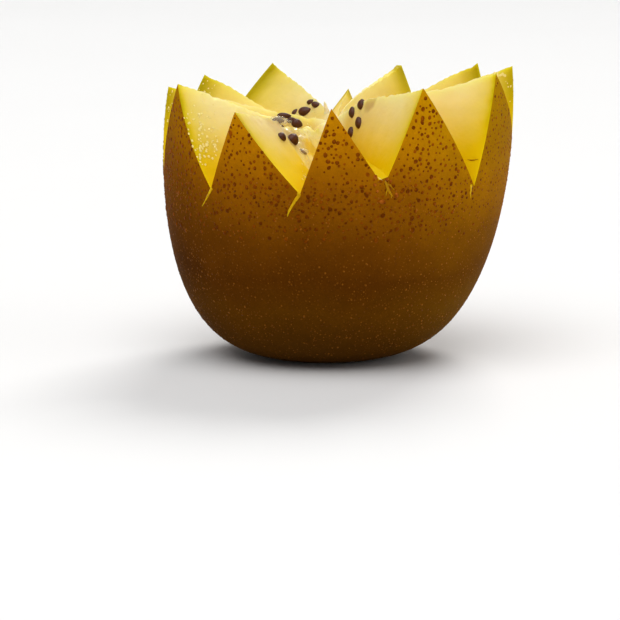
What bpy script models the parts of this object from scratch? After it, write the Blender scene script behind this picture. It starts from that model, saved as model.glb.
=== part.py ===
"""Half of a golden kiwi fruit, cut round its middle in a zigzag and stood on its stem end."""

import math

import bmesh
import bpy
from mathutils import Vector
from mathutils.bvhtree import BVHTree

MM = 0.001

# Whole body of the fruit, before the cut
EQUATOR_RADIUS = 26.85 * MM
EQUATOR_HEIGHT = 35.9 * MM
POLE_OVERRUN = 0.24 * MM
ALONG_POWER = 2.108
ROUND_POWER = 3.531
BLANK_TOP = 48.0 * MM
LEAN = 0.056
DEPTH_RATIO = 0.97
BODY_STEPS = 96
BODY_RINGS = 28

# Hollow that the stem left in the flat end
SCAR_RADIUS = 2.9 * MM
SCAR_DEPTH = 0.8 * MM
SCAR_FLOOR_RADIUS = 1.7 * MM

# Zigzag cut: angle round the axis from the front (degrees), height on the skin (mm),
# and how far the cut swells above a straight line a third of the way out from the middle (mm)
TEETH = [
    (-94.9, 41.4, -0.3),
    (-67.9, 42.9, -1.7),
    (-35.5, 39.8, -0.8),
    (-3.1, 40.8, 0.0),
    (26.4, 43.5, 1.5),
    (60.0, 44.7, 0.5),
    (95.3, 44.6, -0.5),
    (125.2, 44.0, -1.1),
    (158.2, 42.85, 1.1),
    (160.0, 42.85, 1.1),
    (176.7, 38.9, 0.5),
    (204.4, 43.3, 0.7),
    (234.1, 42.1, -2.2),
]
NOTCHES = [
    (-83.0, 28.6, 0.0),
    (-44.4, 28.05, 0.0),
    (-11.5, 28.15, -3.2),
    (13.2, 30.3, -1.5),
    (16.1, 30.7, -1.5),
    (50.7, 28.3, 0.0),
    (88.5, 31.6, 0.0),
    (113.0, 30.0, 0.0),
    (146.0, 30.0, 0.0),
    (169.0, 31.5, 0.0),
    (190.0, 30.0, 0.0),
    (227.0, 31.0, 0.0),
    (251.0, 30.0, 0.0),
]
CUT_CENTRE = Vector((1.5 * MM, 0.0, 36.3 * MM))
SWELL_AT = 1.0 / 3.0
CUT_REACH = 1.35
CUTTER_TOP = 60.0 * MM

# Seeds laid bare on the faces towards the front: place (mm), turn of the long axis (degrees), size
FRONT_SEEDS = [
    (-2.2, 7.4, 95.0, 0.8),
    (-1.4, 5.7, 70.0, 0.9),
    (-3.1, 6.6, 95.0, 1.1),
    (-4.8, 8.5, 150.0, 0.8),
    (-6.3, 0.5, 87.0, 1.0),
    (-7.0, -12.2, 95.0, 0.9),
    (-5.3, 0.2, 100.0, 0.8),
    (-4.4, -2.7, 70.0, 0.95),
    (-6.5, -15.2, 55.0, 0.8),
    (-5.0, -12.9, 40.0, 1.1),
    (-3.5, -12.2, 70.0, 0.8),
    (5.3, -7.2, -14.0, 0.95),
    (4.1, -5.4, 6.0, 0.95),
    (5.1, -8.7, 10.0, 1.0),
    (4.0, -7.2, 8.0, 0.9),
]
# Seeds on the faces turned away: angle from the front (degrees), distance from the core (mm), turn, size
BACK_SEEDS = [
    (-168.0, 7.5, 20.0, 0.95),
    (-161.0, 9.6, -15.0, 1.0),
    (-133.0, 6.6, 10.0, 0.9),
    (-127.0, 8.8, 25.0, 1.05),
    (-120.0, 7.2, -20.0, 0.95),
    (-103.0, 8.3, 35.0, 1.0),
    (-88.0, 9.4, -10.0, 1.0),
    (-75.0, 7.4, 15.0, 0.95),
    (-58.0, 8.9, -25.0, 0.9),
    (61.0, 6.6, 30.0, 0.9),
    (70.0, 8.6, 10.0, 1.0),
    (79.0, 7.3, -18.0, 0.95),
    (92.0, 9.3, 22.0, 1.0),
    (103.0, 6.8, -5.0, 0.9),
    (114.0, 8.4, 14.0, 1.05),
    (126.0, 7.1, -28.0, 0.95),
    (137.0, 9.0, 8.0, 1.0),
    (147.0, 6.9, 18.0, 0.9),
]
CORE_X = LEAN * 37.0 * MM
SEED_LENGTH = 2.2 * MM
SEED_WIDTH = 1.35 * MM
SEED_THICKNESS = 1.0 * MM
SEED_SINK = 0.12 * MM
SEED_SEGMENTS = 8
SEED_RINGS = 6

# Torn flake of the core that stands up in the middle
FLAKE_PLACE = (0.1 * MM, 3.0 * MM)
FLAKE_LEAN = (-0.4 * MM, 0.0)
FLAKE_HEIGHT = 1.6 * MM
FLAKE_ROOT = 0.5 * MM
FLAKE_RADIUS = 0.55 * MM
FLAKE_TIP_RADIUS = 0.1 * MM
FLAKE_SIDES = 8

SKIN_COLOUR = (0.21, 0.09, 0.012, 1.0)


def clear_scene():
    """Start from nothing."""
    for thing in list(bpy.data.objects):
        bpy.data.objects.remove(thing, do_unlink=True)


def new_collection(name):
    """Add a collection to the scene."""
    collection = bpy.data.collections.new(name)
    bpy.context.scene.collection.children.link(collection)
    return collection


def make_material(name, colour, roughness):
    """Plain surface for a named piece."""
    material = bpy.data.materials.new(name)
    material.use_nodes = True
    shader = material.node_tree.nodes["Principled BSDF"]
    shader.inputs["Base Color"].default_value = colour
    shader.inputs["Roughness"].default_value = roughness
    return material


def add_object(name, mesh, collection):
    """Put a mesh into a collection as an object."""
    thing = bpy.data.objects.new(name, mesh)
    collection.objects.link(thing)
    return thing


def select_only(thing):
    """Make one object the only selected and active one."""
    bpy.context.view_layer.update()
    bpy.ops.object.select_all(action="DESELECT")
    thing.select_set(True)
    bpy.context.view_layer.objects.active = thing


def apply_modifier(thing, modifier):
    """Bake one modifier into the mesh."""
    select_only(thing)
    bpy.ops.object.modifier_apply(modifier=modifier.name)


def body_radius(height):
    """Radius of the fruit at a height over the table."""
    share = abs(height - EQUATOR_HEIGHT) / (EQUATOR_HEIGHT + POLE_OVERRUN)
    return EQUATOR_RADIUS * (1.0 - share ** ALONG_POWER) ** (1.0 / ROUND_POWER)


def body_profile():
    """Outer line of the fruit from the top of the blank down to the stem scar."""
    outline = []
    for ring in range(BODY_RINGS):
        height = BLANK_TOP * (1.0 - ring / BODY_RINGS) ** 2
        outline.append((body_radius(height), height))
    scar = [
        (body_radius(0.0), 0.0),
        (SCAR_RADIUS + 0.5 * MM, 0.0),
        (SCAR_RADIUS, 0.18 * SCAR_DEPTH),
        (0.5 * (SCAR_RADIUS + SCAR_FLOOR_RADIUS), 0.7 * SCAR_DEPTH),
        (SCAR_FLOOR_RADIUS, SCAR_DEPTH),
        (0.0, SCAR_DEPTH),
    ]
    return [(0.0, BLANK_TOP)] + outline + scar


def make_body(name, collection):
    """Turn the outer line round the axis, then lean and slightly flatten the solid."""
    mesh = bpy.data.meshes.new(name)
    profile = body_profile()
    vertices = [(radius, 0.0, height) for radius, height in profile]
    edges = [(index, index + 1) for index in range(len(profile) - 1)]
    mesh.from_pydata(vertices, edges, [])
    body = add_object(name, mesh, collection)
    turning = body.modifiers.new("Turn", "SCREW")
    turning.axis = "Z"
    turning.angle = 2.0 * math.pi
    turning.steps = BODY_STEPS
    turning.render_steps = BODY_STEPS
    turning.use_merge_vertices = True
    turning.merge_threshold = 0.00001
    turning.use_smooth_shade = True
    apply_modifier(body, turning)
    for vertex in body.data.vertices:
        vertex.co.x += LEAN * vertex.co.z
        vertex.co.y *= DEPTH_RATIO
    face_outwards(body.data)
    return body


def face_outwards(mesh):
    """Turn every face of a closed mesh to the outside."""
    work = bmesh.new()
    work.from_mesh(mesh)
    bmesh.ops.recalc_face_normals(work, faces=work.faces)
    work.to_mesh(mesh)
    work.free()


def skin_point(angle, height):
    """Point on the skin at an angle from the front and a height."""
    turn = math.radians(angle)
    radius = body_radius(height)
    across = radius * math.sin(turn) + LEAN * height
    along = -DEPTH_RATIO * radius * math.cos(turn)
    return Vector((across, along, height))


def cut_spokes():
    """Tips and notches in order round the fruit, each with its swell."""
    marks = sorted(TEETH + NOTCHES)
    return [(skin_point(angle, height * MM), swell * MM) for angle, height, swell in marks]


def make_cutter(collection):
    """Solid over the zigzag cut: a folded star below, straight walls and a flat top."""
    work = bmesh.new()
    middle = work.verts.new(CUT_CENTRE)
    inner = []
    rim = []
    top = []
    for point, swell in cut_spokes():
        reach = point - CUT_CENTRE
        inner.append(work.verts.new(CUT_CENTRE + SWELL_AT * reach + Vector((0.0, 0.0, swell))))
        end = CUT_CENTRE + CUT_REACH * reach
        rim.append(work.verts.new(end))
        top.append(work.verts.new((end.x, end.y, CUTTER_TOP)))
    count = len(rim)
    for index in range(count):
        following = (index + 1) % count
        work.faces.new((middle, inner[index], inner[following]))
        work.faces.new((inner[index], rim[index], inner[following]))
        work.faces.new((inner[following], rim[index], rim[following]))
        work.faces.new((rim[index], top[index], top[following], rim[following]))
    work.faces.new(top)
    bmesh.ops.recalc_face_normals(work, faces=work.faces)
    mesh = bpy.data.meshes.new("zigzag_cutter")
    work.to_mesh(mesh)
    work.free()
    cutter = add_object("zigzag_cutter", mesh, collection)
    cutter.hide_render = True
    cutter.display_type = "WIRE"
    return cutter


def cut_zigzag(body, cutter):
    """Take everything above the zigzag away."""
    cut = body.modifiers.new("Zigzag cut", "BOOLEAN")
    cut.operation = "DIFFERENCE"
    cut.object = cutter
    cut.solver = "EXACT"
    apply_modifier(body, cut)


def surface_under(mesh, across, along):
    """Point and direction of the cut face straight below a place."""
    work = bmesh.new()
    work.from_mesh(mesh)
    tree = BVHTree.FromBMesh(work)
    place, normal, _, _ = tree.ray_cast(Vector((across, along, CUTTER_TOP)), Vector((0.0, 0.0, -1.0)))
    work.free()
    return place, normal


def make_seed(number, body, spot, collection):
    """One flat oval seed, half sunk in the cut face."""
    across, along, turn, size = spot
    place, normal = surface_under(body.data, across * MM, along * MM)
    bpy.ops.mesh.primitive_uv_sphere_add(segments=SEED_SEGMENTS, ring_count=SEED_RINGS, radius=0.5)
    seed = bpy.context.object
    seed.name = "seed_%02d" % number
    facing = normal.to_track_quat("Z", "Y").to_matrix().to_4x4()
    for vertex in seed.data.vertices:
        local = Vector((
            vertex.co.x * SEED_WIDTH * size,
            vertex.co.z * SEED_LENGTH * size,
            vertex.co.y * SEED_THICKNESS * size,
        ))
        swing = math.radians(turn)
        turned = Vector((
            local.x * math.cos(swing) - local.y * math.sin(swing),
            local.x * math.sin(swing) + local.y * math.cos(swing),
            local.z,
        ))
        vertex.co = facing @ turned + place - normal * SEED_SINK
    face_outwards(seed.data)
    for holder in list(seed.users_collection):
        holder.objects.unlink(seed)
    collection.objects.link(seed)
    return seed


def back_seed_spots():
    """Places of the seeds on the faces turned away, as places across the fruit."""
    spots = []
    for angle, distance, turn, size in BACK_SEEDS:
        swing = math.radians(angle)
        across = CORE_X / MM + distance * math.sin(swing)
        along = -distance * math.cos(swing)
        spots.append((across, along, turn, size))
    return spots


def make_flake(body, collection):
    """Small pointed flake of the core, rooted in the cut face."""
    across, along = FLAKE_PLACE
    place, _ = surface_under(body.data, across, along)
    bpy.ops.mesh.primitive_cone_add(
        vertices=FLAKE_SIDES,
        radius1=FLAKE_RADIUS,
        radius2=FLAKE_TIP_RADIUS,
        depth=FLAKE_HEIGHT + FLAKE_ROOT,
        location=place,
    )
    flake = bpy.context.object
    flake.name = "core_flake"
    select_only(flake)
    bpy.ops.object.transform_apply(location=True, rotation=False, scale=False)
    for vertex in flake.data.vertices:
        rise = (vertex.co.z - place.z) / FLAKE_HEIGHT
        vertex.co.x += FLAKE_LEAN[0] * rise
        vertex.co.y += FLAKE_LEAN[1] * rise
        vertex.co.z += 0.5 * (FLAKE_HEIGHT - FLAKE_ROOT)
    for holder in list(flake.users_collection):
        holder.objects.unlink(flake)
    collection.objects.link(flake)


def join_small_forms(body, small_forms):
    """Fuse the seeds and the core's flake with the fruit in one union."""
    for number, spot in enumerate(FRONT_SEEDS + back_seed_spots()):
        make_seed(number, body, spot, small_forms)
    make_flake(body, small_forms)
    union = body.modifiers.new("Seeds and flake", "BOOLEAN")
    union.operation = "UNION"
    union.operand_type = "COLLECTION"
    union.collection = small_forms
    union.solver = "EXACT"
    apply_modifier(body, union)
    for form in list(small_forms.objects):
        bpy.data.objects.remove(form, do_unlink=True)


def centre_on_table(body):
    """Put the middle of the fruit's own box over the origin."""
    xs = [vertex.co.x for vertex in body.data.vertices]
    ys = [vertex.co.y for vertex in body.data.vertices]
    zs = [vertex.co.z for vertex in body.data.vertices]
    shift = Vector((-0.5 * (min(xs) + max(xs)), -0.5 * (min(ys) + max(ys)), -min(zs)))
    for vertex in body.data.vertices:
        vertex.co += shift
    return shift


def build():
    """Make the half fruit."""
    clear_scene()
    fruit_collection = new_collection("golden_kiwi_half")
    cutters = new_collection("cutters")
    small_forms = new_collection("small_forms")
    body = make_body("golden_kiwi_half", fruit_collection)
    cutter = make_cutter(cutters)
    cut_zigzag(body, cutter)
    join_small_forms(body, small_forms)
    shift = centre_on_table(body)
    cutter.location = shift
    body.data.materials.clear()
    body.data.materials.append(make_material("golden_kiwi_half", SKIN_COLOUR, 0.55))
    for face in body.data.polygons:
        face.material_index = 0
        face.use_smooth = True


build()
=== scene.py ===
"""Half of a golden kiwi fruit cut in a zigzag crown: finished surfaces, floor, light and camera."""
import math
import random

import bpy
import numpy as np
from mathutils import Euler, Matrix, Vector, noise


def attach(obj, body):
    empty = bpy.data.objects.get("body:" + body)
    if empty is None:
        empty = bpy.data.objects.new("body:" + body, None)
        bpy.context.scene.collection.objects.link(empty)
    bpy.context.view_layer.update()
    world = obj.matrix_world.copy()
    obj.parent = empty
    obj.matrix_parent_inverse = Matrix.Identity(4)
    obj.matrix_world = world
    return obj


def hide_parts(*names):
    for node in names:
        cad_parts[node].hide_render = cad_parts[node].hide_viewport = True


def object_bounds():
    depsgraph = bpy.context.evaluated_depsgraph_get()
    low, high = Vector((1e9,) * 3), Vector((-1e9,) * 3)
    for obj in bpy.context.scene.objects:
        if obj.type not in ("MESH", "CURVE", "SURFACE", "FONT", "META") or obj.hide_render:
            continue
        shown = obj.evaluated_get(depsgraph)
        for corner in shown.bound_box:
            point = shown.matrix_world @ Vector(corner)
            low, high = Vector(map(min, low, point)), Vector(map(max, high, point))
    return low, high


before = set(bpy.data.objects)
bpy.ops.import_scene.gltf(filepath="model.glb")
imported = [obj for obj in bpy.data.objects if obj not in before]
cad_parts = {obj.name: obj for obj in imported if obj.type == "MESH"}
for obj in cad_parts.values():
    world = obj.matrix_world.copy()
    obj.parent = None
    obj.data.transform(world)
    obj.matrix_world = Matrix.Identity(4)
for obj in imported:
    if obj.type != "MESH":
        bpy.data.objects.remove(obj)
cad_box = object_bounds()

MM = 0.001
NODE = "golden_kiwi_half"

# Body of the fruit: the same driving sizes as the solid in the frame
STEM_X = -1.984 * MM
EQUATOR_RADIUS = 26.85 * MM
EQUATOR_HEIGHT = 35.9 * MM
POLE_OVERRUN = 0.24 * MM
ALONG_POWER = 2.108
ROUND_POWER = 3.531
BLANK_TOP = 48.0 * MM
LEAN = 0.056
DEPTH_RATIO = 0.97
SCAR_RADIUS = 2.9 * MM
SCAR_DEPTH = 0.8 * MM
SCAR_FLOOR_RADIUS = 1.7 * MM
SCAR_LIP = 0.5 * MM

# Dry button in the scar: share of its radius, then middle and half height as shares of its depth
BUTTON_RADIUS = 0.86
BUTTON_MIDDLE = 0.62
BUTTON_HALF_HEIGHT = 0.45

# Zigzag cut: angle from the front (degrees), height on the skin (mm), swell a third of the way out (mm)
TEETH = [
    (-94.9, 41.4, -0.3),
    (-67.9, 42.9, -1.7),
    (-35.5, 39.8, -0.8),
    (-3.1, 40.8, 0.0),
    (26.4, 43.5, 1.5),
    (60.0, 44.7, 0.5),
    (95.3, 44.6, -0.5),
    (125.2, 44.0, -1.1),
    (158.2, 42.85, 1.1),
    (160.0, 42.85, 1.1),
    (176.7, 38.9, 0.5),
    (204.4, 43.3, 0.7),
    (234.1, 42.1, -2.2),
]
NOTCHES = [
    (-83.0, 28.6, 0.0),
    (-44.4, 28.05, 0.0),
    (-11.5, 28.15, -3.2),
    (13.2, 30.3, -1.5),
    (16.1, 30.7, -1.5),
    (50.7, 28.3, 0.0),
    (88.5, 31.6, 0.0),
    (113.0, 30.0, 0.0),
    (146.0, 30.0, 0.0),
    (169.0, 31.5, 0.0),
    (190.0, 30.0, 0.0),
    (227.0, 31.0, 0.0),
    (251.0, 30.0, 0.0),
]
CUT_CENTRE = Vector((STEM_X + 1.5 * MM, 0.0, 36.3 * MM))

# Factor that brings the curve of the swell to 1 at its highest, a third of the way out
SWELL_CURVE = 6.75

# Height of the core's top and its place across (mm)
CORE_TOP = 37.0
CORE_X = STEM_X / MM + LEAN * CORE_TOP

# Torn wet hollow left of the core (mm)
TORN_CENTRE = (STEM_X / MM - 3.4, -7.2)
TORN_RADII = (5.2, 7.6)
TORN_DEPTH = 0.8

# Patches of the cut: middle across and along, half length, half width (mm), turn of the length (degrees)
TORN_PATCH = (*TORN_CENTRE, 7.6, 5.2, 90.0)
AMBER_PATCH = (-4.1, -8.1, 1.9, 0.9, 60.0)
FILM_PATCH = (-8.6, -11.8, 5.8, 2.6, 53.0)
GREY_PATCH = (4.8, -9.7, 2.2, 0.6, -61.0)

# Cut face that turns away from the light: from and to this angle from the front (radians)
SHADED_FACE = (-0.62, -0.2)

# Grid of the finished fruit: spokes round it, rings over the flesh and down the skin
SPOKES = 600
FLESH_RINGS = 90
SKIN_RINGS = 72

# Power that spaces the flesh rings, points down the outline, and halvings that find the skin on a spoke
RING_CROWDING = 0.8
BODY_STEPS = 400
HALVINGS = 40

# Edges of the fruit that turn more than this stay sharp (degrees)
CREASE_ANGLE = 48.0

# Materials of the finished fruit, in their order
SKIN, FLESH = 0, 1

# Ways up and down, and the height that plumb lines drop from (mm)
UP = Vector((0.0, 0.0, 1.0))
DOWN = Vector((0.0, 0.0, -1.0))
DROP_HEIGHT = 60.0

# Camera of the photograph
PHOTO_SIDE = 620
SENSOR = 36.0
LENS = 168.8
FOCAL = LENS / SENSOR * PHOTO_SIDE
CAMERA_DISTANCE = 450.0 * MM
CAMERA_RISE = 8.0
AIM_HEIGHT = 20.0 * MM
AIM_PIXEL = (325.5, 226.0)

# Far lamps: name, side and height they shine from (degrees), strength, softness (degrees), colour
SUNS = [
    ("back", 160.0, 42.0, 2.0, 30.0, (1.0, 0.985, 0.96)),
    ("overhead", -16.0, 64.0, 2.0, 60.0, (1.0, 1.0, 1.0)),
    ("right_side", 66.0, 18.0, 0.42, 50.0, (1.0, 0.98, 0.95)),
]
ROOM_STRENGTH = 0.22

# Floor and the wall that it sweeps up into (m)
FLOOR_SIDE = 6.0
WALL_HEIGHT = 2.0
SWEEP_RADIUS = 0.9

# Seeds seen in the photograph: pixel, length and width (mm), slant in the picture (degrees), sunk share
SEEN_SEEDS = [
    ((311.2, 101.9), 1.5, 0.95, 5.0, 0.35),
    ((316.6, 105.1), 1.7, 1.1, -20.0, 0.2),
    ((305.5, 111.6), 2.2, 1.6, 5.0, 0.1),
    ((295.0, 112.4), 1.3, 1.1, 60.0, 0.45),
    ((284.3, 115.6), 2.2, 1.0, -3.0, 0.3),
    ((278.4, 120.4), 2.0, 1.1, 5.0, 0.45),
    ((291.0, 120.2), 1.5, 1.1, 10.0, 0.35),
    ((297.0, 123.6), 1.8, 1.6, -20.0, 0.35),
    ((281.6, 137.3), 1.5, 1.45, -35.0, 0.2),
    ((292.2, 140.4), 1.9, 2.1, -50.0, 0.1),
    ((302.0, 151.5), 1.8, 0.8, -20.0, 0.55),
    ((361.6, 104.4), 1.7, 1.4, 78.0, 0.25),
    ((352.7, 112.4), 1.8, 1.4, 96.0, 0.25),
    ((359.4, 122.8), 1.9, 1.5, 104.0, 0.25),
    ((351.5, 132.4), 1.8, 1.4, 98.0, 0.3),
]

# Seeds on the faces turned away: angle from the front (degrees), distance from the core (mm), turn, size
BACK_SEEDS = [
    (-168.0, 7.5, 20.0, 0.95),
    (-161.0, 9.6, -15.0, 1.0),
    (-133.0, 6.6, 10.0, 0.9),
    (-127.0, 8.8, 25.0, 1.05),
    (-120.0, 7.2, -20.0, 0.95),
    (-103.0, 8.3, 35.0, 1.0),
    (-88.0, 9.4, -10.0, 1.0),
    (-75.0, 7.4, 15.0, 0.95),
    (-58.0, 8.9, -25.0, 0.9),
    (61.0, 6.6, 30.0, 0.9),
    (70.0, 8.6, 10.0, 1.0),
    (79.0, 7.3, -18.0, 0.95),
    (92.0, 9.3, 22.0, 1.0),
    (103.0, 6.8, -5.0, 0.9),
    (114.0, 8.4, 14.0, 1.05),
    (126.0, 7.1, -28.0, 0.95),
    (137.0, 9.0, 8.0, 1.0),
    (147.0, 6.9, 18.0, 0.9),
]

# Width, length and thickness of those at size 1 (mm)
BACK_SEED_SIZE = (1.35, 2.2, 1.0)

# Seeds: thickness over width, share of it that the middle of an unsunk one stands out, sinking behind (mm)
SEED_THICKNESS = 0.8
SEED_OUT = 0.3
BACK_SEED_SINK = 0.15

# Clear jelly over seeds: pixel, width and height in the picture and thickness (mm)
JELLY = [
    ((278.6, 120.8), 2.9, 1.5, 0.7),
    ((287.6, 122.4), 2.2, 1.2, 0.7),
    ((302.0, 151.8), 2.1, 1.0, 0.6),
]

# Beads of juice: box in the photograph that they lie in, count, least and greatest width (mm)
JUICE = [
    ((184.0, 112.0, 206.0, 165.0), 60, 0.16, 0.4),
    ((198.0, 124.0, 218.0, 162.0), 50, 0.18, 0.46),
    ((190.0, 92.0, 216.0, 124.0), 20, 0.12, 0.3),
    ((166.0, 90.0, 173.0, 150.0), 22, 0.1, 0.24),
    ((198.0, 78.0, 215.0, 92.0), 12, 0.12, 0.3),
    ((494.0, 69.0, 506.0, 78.0), 14, 0.2, 0.42),
    ((504.0, 80.0, 511.0, 104.0), 6, 0.1, 0.24),
    ((302.0, 150.0, 308.0, 180.0), 16, 0.16, 0.36),
    ((285.0, 112.0, 316.0, 140.0), 26, 0.15, 0.36),
    ((336.0, 98.0, 350.0, 120.0), 6, 0.15, 0.3),
]

# Height of a bead of juice over its width
JUICE_RISE = 0.24

# Juice on the faces turned away: count tried, farthest from the core and widths (mm)
FAR_JUICE = 260
FAR_JUICE_REACH = 26.0
FAR_JUICE_WIDTHS = (0.14, 0.3)

# Slits that the knife ran on into the skin: pixels along each, width at each (mm)
SLITS = [
    (((211.8, 188.0), (209.0, 193.5), (205.5, 200.5), (202.3, 206.3)), (0.6, 0.42, 0.26, 0.08)),
    (((299.2, 193.0), (298.6, 195.8), (292.6, 204.5), (288.8, 211.5), (287.5, 216.3)),
     (0.6, 0.62, 0.44, 0.3, 0.08)),
    (((471.2, 184.5), (470.9, 188.5), (470.4, 193.0), (470.6, 198.0)), (0.5, 0.46, 0.34, 0.08)),
]
DULL_SLITS = [
    (((385.2, 181.0), (386.6, 184.6), (388.0, 188.4), (389.6, 192.0), (391.6, 195.6), (391.0, 198.6)),
     (0.3, 0.4, 0.46, 0.4, 0.3, 0.05)),
    (((387.8, 188.6), (386.4, 192.4), (385.6, 196.4)), (0.3, 0.2, 0.04)),
    (((386.8, 184.0), (389.4, 184.8), (391.6, 186.9), (394.4, 190.0)), (0.2, 0.26, 0.2, 0.04)),
]
PALE_FLAKES = [
    (((378.4, 177.8), (380.2, 179.2), (382.4, 180.0)), (0.06, 0.14, 0.06)),
    (((385.3, 181.0), (386.3, 182.8)), (0.26, 0.12)),
    (((471.3, 187.2), (471.0, 189.6)), (0.2, 0.1)),
]
BROWN_FLECKS = [
    (((467.6, 159.6), (471.0, 160.2), (474.6, 160.0), (478.6, 159.2)), (0.05, 0.16, 0.14, 0.04)),
]

# Strips over the slits: section radius at a width of 1, steps between pixels, sinking by width, lift (mm)
STROKE_RADIUS = 0.5
STROKE_STEPS = 6
STROKE_SINK = 0.3
STROKE_LIFT = 0.06

# Pieces made of strips: name, lines, kind of material, its dark and light screen colours, finish
STRIP_PIECES = [
    ("knife_slits", SLITS, "open_flesh", (204, 154, 1), (230, 186, 10), "kiwi_flesh"),
    ("dull_slits", DULL_SLITS, "dull_flesh", (164, 112, 1), (190, 138, 1), "kiwi_flesh"),
    ("pale_flakes", PALE_FLAKES, "pale_flesh", (230, 204, 110), (242, 224, 150), "kiwi_flesh"),
    ("brown_fleck", BROWN_FLECKS, "brown_fibre", (120, 66, 8), (158, 98, 12), "skin_spot"),
]

# Larger corky spots beside the slits: pixel, width and height in the picture (mm)
LARGE_SPOTS = [
    ((387.0, 179.2), 0.5, 0.55),
    ((390.8, 181.2), 0.4, 0.42),
    ((375.5, 177.0), 0.62, 0.66),
    ((374.8, 184.8), 0.5, 0.5),
    ((377.5, 191.3), 0.4, 0.4),
    ((396.3, 195.5), 0.62, 0.86),
    ((382.3, 201.8), 0.95, 0.68),
    ((471.8, 193.2), 0.4, 0.5),
]

# Torn flake of the core that stands up in the middle (mm)
FLAKE_PLACE = (STEM_X / MM + 0.1, 3.0)
FLAKE_LEAN = -0.4
FLAKE_HEIGHT = 1.55
FLAKE_ROOT = 0.5
FLAKE_RADIUS = 0.52
FLAKE_TIP_RADIUS = 0.09

# Spots on the skin: greatest count, heights, least gap and widths (mm), stretch, height over width
CROWN_SPOTS = (3600, (21.0, 45.0), 0.56, (0.3, 0.72), 0.35, 0.16)
LOWER_DOTS = (7600, (0.6, 30.0), 0.36, (0.14, 0.4), 0.7, 0.14)

# Pieces of spots: dark and light screen colours, painted light on the right, segments and rings, roughness
SPOT_PIECES = {
    "crown_spots": ((108, 50, 1), (150, 77, 3), 0.14, (8, 4), 0.08),
    "russet_spots": ((128, 60, 6), (188, 104, 30), 0.14, (16, 10), 0.04),
    "lower_dots": ((116, 64, 8), (166, 98, 24), 0.5, (6, 3), 0.05),
}

# Thinning of the spots at their lower limit: share left there, and rise that adds a whole share (mm)
THINNEST = 0.3
THINNED_RISE = 7.0

# Smaller spots on the right: from this far across, over this width (mm), by up to this share
SMALLER_FROM = 12.0
SMALLER_WIDTH = 10.0
SMALLER_SHARE = 0.35

# Clear skin beside a spot, and step down the skin that gives its slope (mm)
SPOT_MARGIN = 0.25
SLOPE_STEP = 0.2

# Starts of the random draws
JUICE_DRAW = 31
CROWN_DRAW = 5
LOWER_DRAW = 6

# Screen colours of the skin from its base to its crown, by share of the height: partly its own colour,
# partly painted glow at the crown and painted shade toward the base
SKIN_TONES = [
    (0.0, (82, 54, 8)),
    (0.12, (84, 54, 4)),
    (0.22, (95, 61, 2)),
    (0.33, (90, 53, 1)),
    (0.45, (110, 67, 1)),
    (0.65, (152, 99, 1)),
    (0.8, (188, 132, 1)),
    (1.0, (208, 156, 1)),
]

# Screen colours of the flesh from the skin inwards, by share of the unripe band
FLESH_TONES = [
    (0.0, (178, 160, 1)),
    (0.04, (202, 178, 1)),
    (0.1, (224, 198, 44)),
    (0.2, (237, 212, 92)),
    (0.35, (241, 219, 118)),
    (0.55, (245, 224, 138)),
    (0.8, (248, 228, 152)),
    (1.0, (249, 230, 160)),
]


def clear_selection():
    """Leave nothing selected, so that an operator acts on the new piece alone."""
    bpy.ops.object.select_all(action="DESELECT")


def activate(thing):
    """Make one object the only selected and active one."""
    clear_selection()
    thing.select_set(True)
    bpy.context.view_layer.objects.active = thing


def name_active(name):
    """Name the active object, and give its mesh the same name."""
    made = bpy.context.object
    made.name = name
    made.data.name = name
    return made


def edit_all():
    """Open the active mesh for editing with all of it selected."""
    bpy.ops.object.mode_set(mode="EDIT")
    bpy.ops.mesh.select_all(action="SELECT")


# Shader sums


class Wire:
    """An output socket that Python's operators turn into more nodes."""

    def __init__(self, bench, socket):
        self.bench = bench
        self.socket = socket

    def __add__(self, other):
        return self.bench.math("ADD", self, other)

    __radd__ = __add__

    def __sub__(self, other):
        return self.bench.math("SUBTRACT", self, other)

    def __rsub__(self, other):
        return self.bench.math("SUBTRACT", other, self)

    def __mul__(self, other):
        return self.bench.math("MULTIPLY", self, other)

    __rmul__ = __mul__

    def __truediv__(self, other):
        return self.bench.math("DIVIDE", self, other)


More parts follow.
